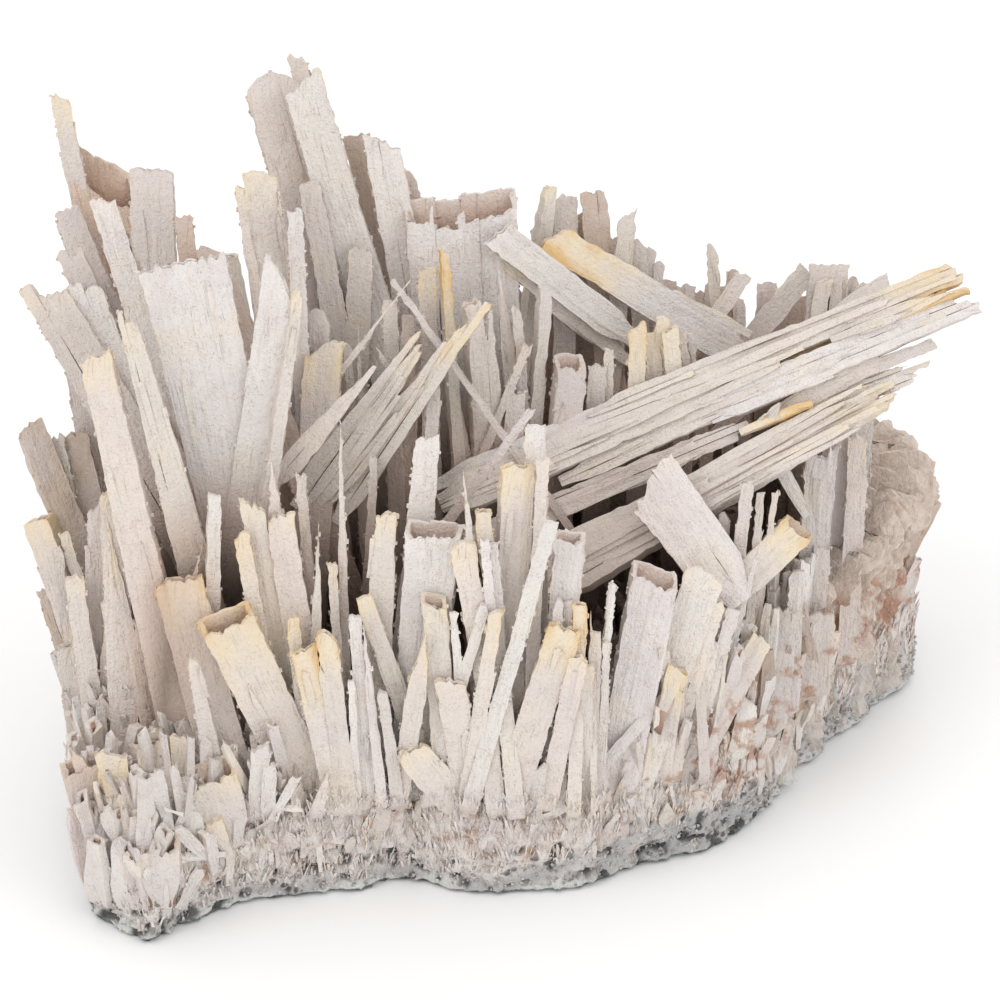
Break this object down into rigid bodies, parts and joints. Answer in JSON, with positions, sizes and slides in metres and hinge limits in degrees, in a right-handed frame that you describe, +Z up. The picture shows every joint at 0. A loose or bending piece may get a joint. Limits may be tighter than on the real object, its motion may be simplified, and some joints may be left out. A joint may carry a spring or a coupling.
{
  "type": "quartz pseudomorph",
  "caption": "Cluster of pale box-like quartz blades grown on a flat slab of matrix, resting on its flat underside; a display mineral specimen.",
  "frame": {"origin": "on the flat underside, near the middle of the footprint", "axes": "+Z up, +X along the long side towards the end that the long bundle overhangs, -Y towards the low front edge"},
  "size_m": [0.1933, 0.1417, 0.143],
  "materials": {
    "quartz": "sugary matt quartz, pale warm grey with cream tips and brown hollows"
  },
  "bodies": {
    "root": {"crystal_cluster": "quartz"}
  },
  "joints": []
}
